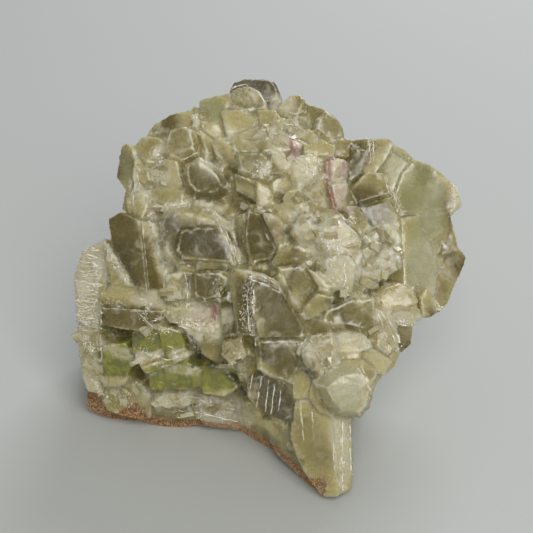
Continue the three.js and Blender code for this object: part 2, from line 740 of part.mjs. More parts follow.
// Crystals on the back and sides. Parallel lines in an even, staggered grid come from this
// direction, and one grows where each line meets the cluster.
function crystalsFrom(from, skin, random) {
  const across = new THREE.Vector3(0, 0, 1).cross(from).normalize();
  const rowSpacing = BACK_SPACING * Math.sqrt(3) / 2;
  const reach = Math.ceil(WIDTH / BACK_SPACING);
  const crystals = [];
  for (let row = 0; row * rowSpacing < WIDTH; row += 1) {
    const stagger = (row % 2) / 2;
    for (let column = -reach; column <= reach; column += 1) {
      const sideways = (column + stagger + random(DRIFT)) * BACK_SPACING;
      const start = from.clone().multiplyScalar(WIDTH).addScaledVector(across, sideways);
      start.z = (row + 0.5 + random(DRIFT)) * rowSpacing;
      const hit = new THREE.Raycaster(start, from.clone().negate()).intersectObject(skin)[0];
      if (hit && hit.point.z > BACK_LOWEST) {
        const outward = hit.face.normal.clone().add(from).normalize();
        crystals.push(...hiddenCrystal(hit.point, outward, skin, random));
      }
    }
  }
  return crystals;
}

const faces = [CROWN, UPPER_LEFT, UPPER_MIDDLE, STAINED, MIDDLE, UPRIGHT, LOWER_LEFT, TIP,
  LOWER_RIGHT, RIGHT_SIDE, WING].flatMap((group) => Object.values(group));
const joined = (solids) => solids.reduce((whole, solid) => whole.add(solid));
const front = joined([
  ...Object.values(MASS).map(lump),
  ...faces.map((crystal) => seenCrystal(crystal, null, FLARE)),
]);
const skin = new THREE.Mesh(geometryOf(front), new THREE.MeshBasicMaterial());
const random = randomFrom(SEED);
const back = HIDDEN_SIDES.flatMap((side) => crystalsFrom(side.normalize(), skin, random));

// Cut flat where it stands. The largest piece of the result is the cluster, and the others line
// small gaps between the crystals, which are filled.
const belowFloor = new THREE.BoxGeometry(FLOOR_SIZE, FLOOR_SIZE, FLOOR_SIZE)
  .translate(0, 0, -FLOOR_SIZE / 2);
const cluster = joined([front, ...back]).subtract(solidOf(belowFloor));
const [whole] = cluster.decompose().sort((a, b) => b.volume() - a.volume());

const geometry = geometryOf(whole);
geometry.computeBoundingBox();
const middle = geometry.boundingBox.getCenter(new THREE.Vector3());
geometry.translate(-middle.x, -middle.y, 0);

const salt = new THREE.MeshStandardMaterial({ color: 0xa39c6e, roughness: 0.25, metalness: 0 });
const mesh = new THREE.Mesh(geometry, salt);
mesh.name = 'crystal_cluster';

const part = new THREE.Group();
part.add(mesh);
export default part;
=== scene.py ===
"""A cluster of blocky, milky-clear crystals grown together, resting on a pale table."""
import math

import bmesh
import bpy
import numpy as np
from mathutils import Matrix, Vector
from mathutils.bvhtree import BVHTree


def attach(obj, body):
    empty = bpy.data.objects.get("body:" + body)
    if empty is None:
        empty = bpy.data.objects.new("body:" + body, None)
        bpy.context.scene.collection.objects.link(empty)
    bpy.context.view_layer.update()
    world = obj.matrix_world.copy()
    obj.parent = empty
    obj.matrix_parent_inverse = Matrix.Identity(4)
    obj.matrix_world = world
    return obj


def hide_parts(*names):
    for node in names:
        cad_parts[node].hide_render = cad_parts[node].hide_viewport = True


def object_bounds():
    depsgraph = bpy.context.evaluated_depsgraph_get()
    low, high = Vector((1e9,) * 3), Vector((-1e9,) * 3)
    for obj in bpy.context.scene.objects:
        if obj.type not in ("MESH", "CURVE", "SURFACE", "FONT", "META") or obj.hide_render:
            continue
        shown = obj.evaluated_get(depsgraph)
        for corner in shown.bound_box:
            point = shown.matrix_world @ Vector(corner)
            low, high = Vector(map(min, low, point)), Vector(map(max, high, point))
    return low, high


MM = 0.001

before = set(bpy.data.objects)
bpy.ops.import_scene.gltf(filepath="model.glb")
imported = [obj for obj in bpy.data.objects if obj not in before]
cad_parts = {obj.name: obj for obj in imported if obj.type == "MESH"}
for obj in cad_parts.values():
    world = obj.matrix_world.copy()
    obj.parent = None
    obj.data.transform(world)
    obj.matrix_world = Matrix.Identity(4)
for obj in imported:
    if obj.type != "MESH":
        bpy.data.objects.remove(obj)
cad_low, cad_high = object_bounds()
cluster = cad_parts["crystal_cluster"]

# The photograph's viewpoint, as the solid was drawn from it
PICTURE_WIDTH = 533
PICTURE_MIDDLE = PICTURE_WIDTH / 2
PIXEL = 118 / 395 * MM  # a pixel's width at the picture plane
VIEW_DISTANCE = 480 * MM
VIEW_ELEVATION = math.radians(30)
PICTURE_PLANE = Vector((-0.9432, -0.6961, 51.5)) * MM  # the plane's middle
RIGHT = Vector((1, 0, 0))
UP = Vector((0, math.sin(VIEW_ELEVATION), math.cos(VIEW_ELEVATION)))
TOWARD = Vector((0, -math.cos(VIEW_ELEVATION), math.sin(VIEW_ELEVATION)))
VIEWPOINT = PICTURE_PLANE + TOWARD * VIEW_DISTANCE
SENSOR_WIDTH = 36  # millimetres, as the camera takes it

# How the surface is read and worn
CREASE = math.radians(22)  # the least angle between two faces that makes an edge or a groove
FLAT_ANGLE = math.radians(8)  # the most that a facet's triangles turn from each other
GRAIN = 0.4 * MM  # the side of the body's squares
GROOVE_FILL = 0.9 * MM  # grooves narrower than twice this are filled, as the crystals grew together
FACET_SEED = 5
BODY_TRIANGLES = 195000
NICK = 0.3 * MM  # how deep the edges are nicked
SWELL = 0.1 * MM  # how far the faces swell and sink
GRIT = 0.25 * MM  # how deep the frosted faces are pitted

# The salt, and the table it stands on
TRANSMISSION = 0.55
SALT_IOR = 1.544
MILK_DEPTH = 4 * MM  # how far light scatters in the milky salt
TABLE_HALF = 3

# Where the photograph shows each change of the surface. A stroke is a line of pixels, and the
# radius of the brush in pixels.
ZONES = {
    # Partly painted shade, in the hollows and on the shaded sides of blocks, and partly dark slits in the
    # salt; on the unseen sides it falls in random patches
    "dark": [
        ([(190, 240), (220, 246)], 18), ([(266, 86), (274, 94)], 10),
        ([(163, 216), (160, 232), (166, 250), (176, 268)], 7),
        ([(176, 226), (172, 244), (178, 260)], 6), ([(182, 262), (210, 268), (232, 270)], 5),
        ([(182, 176), (188, 192), (200, 198), (216, 196)], 6),
        ([(226, 168), (228, 184), (220, 196)], 5), ([(236, 222), (240, 240), (246, 262)], 6),
        ([(186, 276), (188, 298)], 6), ([(104, 328), (118, 330), (132, 336)], 6),
        ([(240, 286), (243, 330)], 6), ([(196, 344), (198, 358)], 6),
        ([(250, 344), (258, 352), (276, 358)], 6), ([(296, 266), (290, 280), (286, 300)], 5),
        ([(286, 232), (296, 244), (294, 256)], 5), ([(330, 300), (352, 330)], 6),
        ([(354, 192), (364, 210), (374, 222)], 6), ([(300, 364), (312, 378)], 5),
        ([(366, 292), (378, 286)], 6), ([(222, 150), (232, 166), (240, 176)], 5),
        ([(236, 178), (252, 186)], 4), ([(296, 214), (290, 228)], 4),
        ([(206, 200), (222, 198), (232, 186)], 5), ([(118, 246), (128, 266), (134, 284)], 7),
        ([(208, 366), (222, 362)], 7), ([(136, 366), (142, 378)], 6), ([(262, 410), (290, 420)], 6),
        ([(250, 425), (280, 445), (300, 462)], 6), ([(284, 384), (290, 412)], 5),
    ],
    "frost": [
        ([(96, 342), (118, 352), (140, 357)], 8), ([(160, 352), (190, 357)], 8),
        ([(84, 352), (100, 374)], 11), ([(170, 368), (200, 372)], 6),
        ([(334, 162), (341, 184), (344, 204)], 9), ([(155, 208), (157, 238), (166, 262)], 14),
        ([(160, 212), (190, 205), (214, 210), (226, 222)], 12),
        ([(162, 150), (165, 172), (160, 186)], 10),
        ([(172, 278), (178, 300), (200, 318), (196, 332)], 15), ([(226, 318), (214, 335)], 12),
        ([(140, 297), (158, 300)], 12), ([(252, 136), (282, 130), (304, 128)], 14),
        ([(280, 148), (286, 160)], 12), ([(303, 162), (308, 176)], 18), ([(312, 350), (326, 362)], 17),
        ([(312, 190), (318, 203)], 12), ([(326, 226), (345, 244), (336, 268)], 26),
        ([(378, 232), (392, 250), (384, 272)], 24), ([(312, 232), (318, 250)], 14),
        ([(206, 406), (232, 416)], 25), ([(84, 345), (88, 385)], 14), ([(386, 318), (390, 345)], 14),
        ([(238, 92), (250, 98)], 10), ([(247, 271), (262, 276), (280, 285)], 8),
        ([(222, 226), (232, 244), (240, 262)], 7), ([(340, 338), (364, 342)], 14),
        ([(342, 425), (343, 485)], 9), ([(397, 318), (415, 322)], 12),
        ([(106, 252), (122, 268), (130, 282)], 7), ([(302, 216), (308, 236)], 14),
    ],
    "glint": [
        ([(343, 266), (345, 280), (348, 292)], 3),
        ([(248, 284), (249, 300), (250, 318), (253, 344)], 3), ([(218, 286), (218, 300)], 3),
        ([(222, 226), (230, 240), (239, 262)], 3), ([(250, 272), (252, 300), (253, 330)], 3),
        ([(386, 174), (391, 188), (397, 200), (402, 215)], 4), ([(370, 140), (370, 156)], 3),
        ([(320, 235), (330, 245)], 5), ([(332, 222), (338, 250), (330, 262)], 6),
        ([(378, 240), (390, 250), (386, 262)], 6), ([(156, 150), (160, 168), (150, 184)], 5),
        ([(166, 206), (190, 204), (212, 210), (222, 222)], 4), ([(152, 212), (152, 230)], 4),
        ([(160, 318), (182, 320), (210, 330)], 5), ([(110, 300), (118, 306)], 3),
        ([(140, 298), (150, 306), (142, 318)], 3), ([(84, 338), (90, 350), (98, 346)], 5),
        ([(238, 352), (244, 370), (246, 380)], 4), ([(300, 345), (312, 336), (330, 334)], 4),
        ([(382, 330), (388, 350)], 4), ([(400, 322), (414, 326)], 4), ([(454, 186), (458, 200)], 4),
        ([(438, 306), (446, 312)], 4), ([(258, 166), (266, 172)], 4), ([(300, 160), (312, 172)], 5),
        ([(340, 212), (350, 224), (354, 218)], 4), ([(192, 114), (198, 124)], 4),
        ([(342, 424), (342, 490)], 2), ([(358, 370), (366, 384), (372, 392)], 2),
        ([(396, 400), (374, 402)], 3), ([(180, 402), (200, 414)], 4), ([(200, 412), (232, 416)], 6),
        ([(196, 404), (214, 400)], 5), ([(142, 352), (160, 357), (184, 354)], 3),
        ([(152, 364), (166, 367)], 2), ([(150, 334), (172, 330)], 2), ([(98, 384), (104, 396)], 4),
        ([(88, 300), (86, 330)], 4), ([(116, 392), (126, 398)], 4),
        ([(106, 244), (116, 262), (126, 280)], 4), ([(130, 182), (134, 200)], 3),
    ],
    "rubble": [
        ([(318, 225), (340, 245), (322, 262)], 24), ([(372, 240), (392, 250), (380, 272)], 20),
        ([(352, 220), (362, 236)], 16), ([(290, 128), (262, 136), (250, 148)], 18),
        ([(300, 200), (308, 226)], 16), ([(152, 165), (160, 190)], 16),
        ([(170, 300), (180, 318), (150, 322)], 16), ([(232, 350), (240, 372)], 14),
        ([(316, 350), (324, 364)], 20), ([(386, 330), (396, 345)], 18), ([(90, 340), (100, 380)], 16),
        ([(140, 400), (210, 410)], 18), ([(110, 388), (120, 402)], 14), ([(340, 270), (352, 296)], 12),
    ],
    # Pale crystals, and painted light: the wide pale and frost strokes over the white blocks at the foot
    # brighten faces left in shade, and the stroke on the right wing's outer rim is a painted highlight
    "pale": [
        ([(303, 160), (308, 176)], 18), ([(326, 228), (352, 250), (336, 262)], 24),
        ([(378, 250), (394, 262)], 18), ([(338, 340), (364, 346)], 14),
        ([(196, 400), (216, 410), (238, 420)], 26), ([(340, 425), (344, 475)], 12),
        ([(396, 318), (414, 322)], 14), ([(458, 190), (456, 206)], 10), ([(194, 114), (196, 122)], 6),
        ([(330, 162), (345, 200)], 10), ([(376, 244), (398, 268)], 24), ([(326, 226), (352, 256)], 30),
        ([(364, 336), (384, 366)], 16), ([(345, 380), (352, 404)], 20), ([(420, 255), (428, 285)], 20),
        ([(76, 262), (80, 310)], 14), ([(150, 394), (180, 402)], 12), ([(390, 155), (404, 172)], 16),
        ([(132, 178), (146, 200)], 8),
    ],
    "cream": [([(88, 258), (84, 290), (86, 322)], 18), ([(100, 250), (102, 270)], 12)],
    "green": [
        ([(128, 342), (150, 339), (176, 346)], 17),
        ([(150, 380), (180, 372), (210, 378), (226, 374)], 19), ([(92, 358), (122, 362)], 20),
    ],
    "rust": [
        ([(90, 400), (98, 410), (118, 417), (136, 417)], 15),
        ([(136, 419), (165, 425), (200, 425), (236, 430)], 7),
        ([(236, 426), (262, 440), (282, 456), (302, 474), (320, 490)], 6),
    ],
    "pink": [
        ([(336, 162), (341, 182), (342, 204)], 16), ([(288, 138), (296, 152)], 10),
        ([(200, 316), (212, 312)], 9),
    ],
    "red": [
        ([(327, 160), (325, 178), (331, 200), (336, 211)], 4), ([(290, 140), (295, 156)], 3),
        ([(214, 308), (214, 322)], 4),
    ],
    "smoke": [
        ([(240, 82), (264, 84), (276, 96)], 18), ([(258, 382), (272, 396), (282, 412)], 15),
        ([(166, 262), (160, 236), (172, 218)], 8),
    ],
    "deep": [
        ([(188, 238), (222, 244)], 24), ([(262, 290), (280, 305), (284, 328)], 26),
        ([(120, 218), (126, 245), (136, 272)], 22), ([(206, 172), (206, 188)], 24),
        ([(256, 222), (262, 250)], 20), ([(242, 200), (250, 206)], 16), ([(205, 280), (212, 295)], 22),
        ([(228, 304), (228, 332)], 12), ([(244, 285), (247, 330)], 10), ([(145, 245), (152, 285)], 12),
        ([(110, 316), (150, 318)], 16), ([(270, 348), (286, 362)], 20), ([(358, 150), (352, 172)], 16),
        ([(366, 196), (376, 214)], 18), ([(150, 130), (170, 122)], 14), ([(266, 392), (280, 408)], 20),
    ],
    "olive": [
        ([(302, 108), (326, 122)], 20), ([(172, 132), (188, 148)], 18), ([(238, 286), (244, 328)], 14),
        ([(242, 158), (266, 170)], 20), ([(295, 268), (312, 292)], 16), ([(334, 308), (366, 322)], 16),
        ([(262, 84), (272, 94)], 18), ([(154, 214), (166, 244)], 10), ([(204, 338), (226, 346)], 12),
        ([(434, 196), (444, 246)], 18), ([(305, 430), (322, 460)], 18), ([(236, 92), (254, 104)], 12),
        ([(150, 380), (210, 384)], 8),
    ],
    "sea": [
        ([(206, 102), (216, 110)], 14), ([(124, 150), (126, 180)], 9), ([(396, 155), (402, 168)], 22),
        ([(420, 185), (424, 215)], 30), ([(345, 385), (350, 405)], 26), ([(428, 240), (420, 270)], 26),
    ],
    "butter": [
        ([(386, 298), (408, 300)], 20), ([(350, 356), (380, 364)], 16), ([(330, 476), (348, 484)], 16),
    ],
}

AWAY = -0.2  # a surface that faces this much away from the viewpoint isn't in the photograph
FOOT = 3 * MM  # how high the rust reaches there
BEYOND = {  # how many patches of each kind are there, and their radius in millimetres
    "frost": (45, 6), "pale": (40, 7), "deep": (50, 8), "dark": (30, 3),
    "glint": (40, 1.5), "rubble": (14, 6), "rust": (60, 2.5),
}
SOFT_BRUSH = 2.5  # how fast a stroke fades: its core is full to 1 - 1 / this of the radius
SEAM_BRUSH = 4  # twice the pixels between a seam's points
SEAM_GAP = 2.5 * MM  # a seam breaks where it would jump further than this
# White seams: partly white veins and cracks in the salt, partly painted highlights along edges that glint
WHITE_SEAMS_AND_HIGHLIGHTS = [
    [(222, 223), (228, 236), (233, 250), (240, 264)], [(219, 226), (227, 240), (236, 263)],
    [(225, 224), (232, 238), (237, 255)], [(386, 174), (390, 184), (395, 196), (399, 206), (403, 216)],
    [(388, 178), (386, 186), (391, 196), (398, 204), (397, 212)], [(369, 139), (370, 150), (371, 163)],
    [(374, 140), (373, 156), (373, 165)], [(378, 312), (384, 330), (390, 352)],
    [(382, 312), (392, 334), (398, 350)], [(379, 325), (386, 345)], [(386, 316), (398, 338)],
    [(262, 376), (259, 392), (256, 408)], [(269, 380), (265, 412)], [(275, 384), (271, 414)],
    [(281, 390), (277, 418)], [(253, 374), (249, 396)], [(342, 420), (342, 490)],
    [(333, 440), (334, 470)], [(350, 424), (351, 470)], [(300, 400), (304, 440)],
    [(312, 412), (314, 440)], [(358, 368), (365, 380), (372, 392)], [(361, 367), (369, 381)],
    [(247, 272), (262, 276), (280, 286), (280, 293), (262, 283), (248, 278)],
    [(248, 284), (248, 312), (250, 340)], [(254, 290), (254, 320), (256, 346)],
    [(101, 320), (101, 340), (102, 360)], [(130, 180), (133, 192), (134, 205)],
    [(148, 190), (147, 208)], [(137, 172), (140, 188)],
    [(184, 160), (196, 153), (212, 153), (224, 165)],
    [(150, 215), (160, 206), (190, 203), (212, 208), (224, 222)],
    [(232, 88), (246, 84), (260, 96), (268, 106)], [(165, 272), (184, 270), (188, 290), (186, 310)],
    [(376, 300), (386, 288), (405, 284), (420, 292)], [(358, 244), (366, 236), (372, 246), (382, 242)],
    [(376, 250), (384, 258), (394, 252), (400, 262)], [(340, 214), (346, 222), (352, 216), (356, 224)],
    [(318, 236), (326, 230), (334, 238), (328, 250)], [(336, 252), (344, 246), (350, 258)],
    [(344, 262), (345, 276), (348, 288)], [(150, 322), (166, 318), (182, 316), (200, 326)],
    [(160, 330), (178, 326), (192, 330)], [(176, 402), (186, 396), (200, 398), (208, 406)],
    [(178, 410), (192, 414), (208, 410)], [(202, 404), (236, 410)], [(204, 414), (238, 422)],
    [(168, 346), (182, 352), (196, 346)], [(150, 356), (168, 360), (182, 356)],
    [(302, 352), (310, 342), (322, 346), (330, 340)], [(306, 364), (316, 360), (326, 368)],
    [(300, 160), (306, 154), (318, 158), (320, 170)], [(252, 136), (262, 130), (276, 134)],
    [(280, 126), (292, 124), (300, 132)], [(256, 164), (264, 170), (272, 166)],
    [(450, 184), (456, 196), (454, 210)], [(436, 310), (446, 308), (454, 300)],
    [(384, 346), (392, 354), (402, 346)],
]
RED_SEAMS = [
    [(327, 158), (326, 176), (331, 198), (336, 211)], [(330, 160), (328, 182), (333, 204)],
    [(290, 140), (293, 150), (296, 157)], [(214, 306), (215, 322)],
]
CLAY_SMEARS = [
    [(183, 330), (190, 336), (197, 346), (199, 356), (193, 366)], [(188, 334), (195, 342), (200, 352)],
    [(228, 374), (238, 384), (245, 395)], [(234, 372), (242, 380)],
    [(200, 366), (214, 366), (224, 362)], [(303, 370), (314, 378)],
]
FAN_ROWS = range(246, 332)  # the pixel rows of the fibrous fan, with a ragged fibre on each
FAN_FIBRES = [
    [(73 + 5 * (y % 5), y), (88 + 2 * (y % 7), y + 3 - y % 4), (106 - 4 * (y % 4), y + 6 - y % 9)]
    for y in FAN_ROWS
]

scene = bpy.context.scene

# Settings that many nodes share
SMOOTH = {"interpolation_type": "SMOOTHSTEP"}
TIMES = {"operation": "MULTIPLY"}
TIMES_PLUS = {"operation": "MULTIPLY_ADD"}
SCALED = {"operation": "SCALE"}
COLOURS = {"data_type": "RGBA"}
VECTORS = {"data_type": "FLOAT_VECTOR"}


def linear(hex_colour):
    """A colour written as sRGB hex, as the linear values that the shaders take."""
    channels = [int(hex_colour[i:i + 2], 16) / 255 for i in (1, 3, 5)]
    return tuple(c / 12.92 if c <= 0.04045 else ((c + 0.055) / 1.055) ** 2.4 for c in channels) + (1,)


def across(size):
    """The scale of a noise whose features are this many millimetres across."""
    return 1 / (size * MM)


def add(tree, kind, settings=(), **links):
    """Adds a node. A setting names a property or an input. A link names an input, with underscores
    for its spaces or as an underscore and its number, and is a value, a socket or a node."""
    node = tree.nodes.new(kind)
    for name, value in dict(settings).items():
        if hasattr(node, name):
            setattr(node, name, value)
        else:
            node.inputs[name].default_value = value
    for name, value in links.items():
        key = int(name[1:]) if name[0] == "_" and name[1:].isdigit() else name.replace("_", " ")
        if isinstance(value, bpy.types.Node):
            value = next(socket for socket in value.outputs if socket.enabled)
        if isinstance(value, bpy.types.NodeSocket):
            tree.links.new(value, node.inputs[key])
        else:
            node.inputs[key].default_value = value
    return node


def new_object(name, mesh):
    """An object of a mesh, in the scene."""
    obj = bpy.data.objects.new(name, mesh)
    scene.collection.objects.link(obj)
    return obj


def new_tree(name, inputs):
    """A geometry node tree with these named inputs, and its two ends."""
    tree = bpy.data.node_groups.new(name, "GeometryNodeTree")
    tree.interface.new_socket("Geometry", in_out="INPUT", socket_type="NodeSocketGeometry")
    tree.interface.new_socket("Geometry", in_out="OUTPUT", socket_type="NodeSocketGeometry")
    for label, kind in inputs.items():
        tree.interface.new_socket(label, in_out="INPUT", socket_type="NodeSocket" + kind)
    return tree, tree.nodes.new("NodeGroupInput").outputs, tree.nodes.new("NodeGroupOutput").inputs


def boxed(tree, given, place):
    """A place kept between the tree's Low and High corners."""
    raised = add(tree, "ShaderNodeVectorMath", {"operation": "MAXIMUM"}, _0=place, _1=given["Low"])
    return add(tree, "ShaderNodeVectorMath", {"operation": "MINIMUM"}, _0=raised, _1=given["High"])


def end(tree, given, made, geometry):
    """Ends a tree with real geometry that has the tree's Material."""
    whole = add(tree, "GeometryNodeRealizeInstances", _0=geometry)
    dressed = add(tree, "GeometryNodeSetMaterial", _0=whole, Material=given["Material"])
    tree.links.new(dressed.outputs[0], made[0])


def applied(obj, tree=None, **values):
    """The plain mesh that an object's modifiers make, with this tree's added if one is given."""
    if tree:
        modifier = obj.modifiers.new(tree.name, "NODES")
        modifier.node_group = tree
        for item in tree.interface.items_tree:
            if item.in_out == "INPUT" and item.name in values:
                modifier[item.identifier] = values[item.name]
    made = bpy.data.meshes.new_from_object(obj.evaluated_get(bpy.context.evaluated_depsgraph_get()))
    obj.modifiers.clear()
    return made


def seen(x, y):
    """The point of the cluster that the photograph shows at a pixel, or None beside it."""
    aim = PICTURE_PLANE + RIGHT * (x - PICTURE_MIDDLE) * PIXEL + UP * (PICTURE_MIDDLE - y) * PIXEL
    return SURFACE.ray_cast(VIEWPOINT, (aim - VIEWPOINT).normalized())[0]


def dabs(line, radius):
    """Points of the cluster along a line of pixels, half a brush's radius apart."""
    for (x0, y0), (x1, y1) in zip(line, line[1:]):
        count = max(1, math.ceil(2 * math.hypot(x1 - x0, y1 - y0) / radius))
        for step in range(count + 1):
            point = seen(x0 + (x1 - x0) * step / count, y0 + (y1 - y0) * step / count)
            if point:
                yield point


def material(name):
    """An empty node material."""
    made = bpy.data.materials.new(name)
    made.use_nodes = True
    made.node_tree.nodes.clear()
    return made


def mottled(name, colours, size, surface):
    """A material of two colours, in soft patches this many millimetres across."""
    made = material(name)
    tree = made.node_tree
    here = add(tree, "ShaderNodeTexCoord").outputs["Object"]
    shade = add(tree, "ShaderNodeTexNoise", Vector=here, Scale=across(size), Detail=3.0)
    mixed = add(tree, "ShaderNodeMapRange", SMOOTH, _0=shade, _1=0.36, _2=0.64)
    colour = add(tree, "ShaderNodeMix", COLOURS, _0=mixed, _6=linear(colours[0]), _7=linear(colours[1]))
    shader = add(tree, "ShaderNodeBsdfPrincipled", {"IOR": SALT_IOR, **surface}, Base_Color=colour)
    add(tree, "ShaderNodeOutputMaterial", Surface=shader.outputs[0])
    return made


# Halite, grown in blocks and broken: a milky, olive-green salt, see-through at thin edges, with
# glossy faces, pale edges (partly wear, partly painted highlight and painted light) and frosted patches
salt = material("halite, milky and see-through")
tree = salt.node_tree
here = add(tree, "ShaderNodeTexCoord").outputs["Object"]
of = {name: add(tree, "ShaderNodeAttribute", {"attribute_name": name}).outputs["Fac"]
      for name in ["from_edge", "from_groove", "facet", *ZONES]}
cloud = add(tree, "ShaderNodeTexNoise", Vector=here, Scale=across(13), Detail=4.0, Roughness=0.55)
wisps = add(
    tree, "ShaderNodeTexNoise", Vector=here, Scale=across(4.2), Detail=6.0, Roughness=0.65,
    Distortion=1.2)
specks = add(tree, "ShaderNodeTexNoise", Vector=here, Scale=across(1.1), Detail=4.0, Roughness=0.7)
turn = add(tree, "ShaderNodeMath", TIMES, _0=of["facet"], _1=math.tau)
turned = add(tree, "ShaderNodeVectorRotate", {"rotation_type": "Z_AXIS"}, Vector=here, Angle=turn)
stretched = add(
    tree, "ShaderNodeMapping", {"vector_type": "TEXTURE"}, Vector=turned, Scale=(0.06, 1.0, 1.0))
grain = add(tree, "ShaderNodeTexNoise", Vector=stretched, Scale=across(6.7), Detail=4.0, Roughness=0.6)

# Each facet has a tone of its own, and clouds drift through it
tone = add(tree, "ShaderNodeMath", TIMES_PLUS, _0=of["facet"], _1=0.5, _2=cloud)
tone = add(tree, "ShaderNodeMath", TIMES_PLUS, _0=grain, _1=0.6, _2=tone)
tone = add(tree, "ShaderNodeMapRange", SMOOTH, _0=tone, _1=0.75, _2=1.4)
colour = add(tree, "ShaderNodeMix", COLOURS, _0=tone, _6=linear("#d2c892"), _7=linear("#96894a"))
# Painted light: the salt paler within 2.5 mm of an edge, as light shines through it where it is thin
thin = add(tree, "ShaderNodeMapRange", SMOOTH, _0=of["from_edge"], _1=0.0, _2=2.5, _3=0.35, _4=0.0)
colour = add(tree, "ShaderNodeMix", COLOURS, _0=thin, _6=colour, _7=linear("#e4dcb8"))
inner = add(tree, "ShaderNodeMapRange", SMOOTH, _0=of["from_edge"], _1=0.0, _2=0.6, _3=0.75, _4=1.0)
deep = add(tree, "ShaderNodeMath", TIMES, _0=of["deep"], _1=inner)
colour = add(tree, "ShaderNodeMix", COLOURS, _0=deep, _6=colour, _7=linear("#7b7040"))
for zone, tint, share in (
    ("olive", "#8c8350", 0.6), ("pale", "#f1ebcf", 0.8), ("sea", "#afb189", 0.6),
    ("butter", "#d5c78c", 0.5), ("smoke", "#706c5c", 0.85),
):
    amount = add(tree, "ShaderNodeMath", TIMES, _0=of[zone], _1=share)
    colour = add(tree, "ShaderNodeMix", COLOURS, _0=amount, _6=colour, _7=linear(tint))
streaks = add(tree, "ShaderNodeMapRange", SMOOTH, _0=wisps, _1=0.42, _2=0.62)
for zone, tint, other in (
    ("green", "#a3a550", "#747a38"), ("cream", "#f2ebd4", "#cfc5a4"),
    ("pink", "#cdb9ab", "#a99284"), ("rust", "#98714a", "#86643f"),
):
    blotched = add(tree, "ShaderNodeMix", COLOURS, _0=streaks, _6=linear(tint), _7=linear(other))
    ragged = add(tree, "ShaderNodeMath", TIMES_PLUS, _0=specks, _1=0.5, _2=of[zone])
    amount = add(tree, "ShaderNodeMapRange", SMOOTH, _0=ragged, _1=0.45, _2=0.75)
    colour = add(tree, "ShaderNodeMix", COLOURS, _0=amount, _6=colour, _7=blotched)
stain = add(tree, "ShaderNodeMapRange", SMOOTH, _0=of["red"], _1=0.1, _2=0.8, _3=0.0, _4=0.45)
colour = add(tree, "ShaderNodeMix", COLOURS, _0=stain, _6=colour, _7=linear("#a3594c"))

# Painted shade in the hollows (with a few dark slits), frost in patches, pale wisps, edges partly worn and
# partly painted highlight, and painted shade in the grooves
shadow = add(tree, "ShaderNodeMath", TIMES, _0=of["dark"], _1=0.6)
colour = add(tree, "ShaderNodeMix", COLOURS, _0=shadow, _6=colour, _7=linear("#5a5336"))
veil = add(tree, "ShaderNodeMapRange", SMOOTH, _0=wisps, _1=0.40, _2=0.62, _3=0.3, _4=1.0)
milky = add(tree, "ShaderNodeMath", TIMES, _0=of["frost"], _1=veil)
colour = add(tree, "ShaderNodeMix", COLOURS, _0=milky, _6=colour, _7=linear("#eae2c4"))
wispy = add(tree, "ShaderNodeMapRange", SMOOTH, _0=wisps, _1=0.55, _2=0.72, _3=0.0, _4=0.6)
colour = add(tree, "ShaderNodeMix", COLOURS, _0=wispy, _6=colour, _7=linear("#e2dcc4"))
# Pale within half a millimetre of an edge, broken by the wisps: partly worn salt, partly a painted
# highlight
rim = add(tree, "ShaderNodeMapRange", SMOOTH, _0=of["from_edge"], _1=0.1, _2=0.5, _3=1.0, _4=0.0)
broken = add(tree, "ShaderNodeMapRange", SMOOTH, _0=wisps, _1=0.45, _2=0.58, _3=0.15, _4=0.95)
rim_wear_and_highlight = add(tree, "ShaderNodeMath", TIMES, _0=rim, _1=broken)
colour = add(tree, "ShaderNodeMix", COLOURS, _0=rim_wear_and_highlight, _6=colour, _7=linear("#f0ebd8"))
# Painted shade: the colour darker within 0.6 mm of a groove, where shade falls
groove = add(tree, "ShaderNodeMapRange", SMOOTH, _0=of["from_groove"], _1=0.0, _2=0.6, _3=0.4, _4=0.0)
colour = add(tree, "ShaderNodeMix", COLOURS, _0=groove, _6=colour, _7=linear("#665d3e"))
gloss = add(tree, "ShaderNodeMapRange", SMOOTH, _0=wisps, _1=0.35, _2=0.7, _3=0.16, _4=0.42)
roughness = add(tree, "ShaderNodeMath", TIMES_PLUS, _0=milky, _1=0.25, _2=gloss)
relief = add(tree, "ShaderNodeMath", TIMES_PLUS, _0=specks, _1=0.3, _2=grain)
bump = add(tree, "ShaderNodeBump", {"Strength": 0.25, "Distance": 0.15 * MM}, Height=relief)
shader = add(tree, "ShaderNodeBsdfPrincipled", {
    "IOR": SALT_IOR, "Transmission Weight": TRANSMISSION, "Subsurface Weight": 1.0,
    "Subsurface Radius": (1.0, 0.85, 0.55), "Subsurface Scale": MILK_DEPTH,
}, Base_Color=colour, Roughness=roughness, Normal=bump)
volume = add(tree, "ShaderNodeVolumeAbsorption", {"Color": linear("#cfc794"), "Density": 18})
add(tree, "ShaderNodeOutputMaterial", Surface=shader.outputs[0], Volume=volume.outputs[0])

# The crystals as the solid has them, with their doubles merged and each flat facet known
crystals = cluster.data.copy()
tidy = bmesh.new()
tidy.from_mesh(crystals)
bmesh.ops.remove_doubles(tidy, verts=tidy.verts, dist=1e-7)
SURFACE = BVHTree.FromBMesh(tidy)
tidy.faces.ensure_lookup_table()
facet_of = np.zeros(len(tidy.faces), np.int32) - 1
for face in tidy.faces:
    if facet_of[face.index] < 0:
        facet_of[face.index] = face.index
        flood = [face]
        while flood:
            near = flood.pop()
            for edge in near.edges:
                for other in edge.link_faces:
                    if facet_of[other.index] < 0 and other.normal.angle(face.normal, 1) < FLAT_ANGLE:
                        facet_of[other.index] = face.index
                        flood.append(other)
shades = np.random.default_rng(FACET_SEED).random(len(facet_of)).astype(np.float32)
tidy.to_mesh(crystals)
tidy.free()
crystals.attributes.new("facet", "FLOAT", "FACE").data.foreach_set("value", shades[facet_of])
crystals_object = new_object("crystals_of_the_solid", crystals)

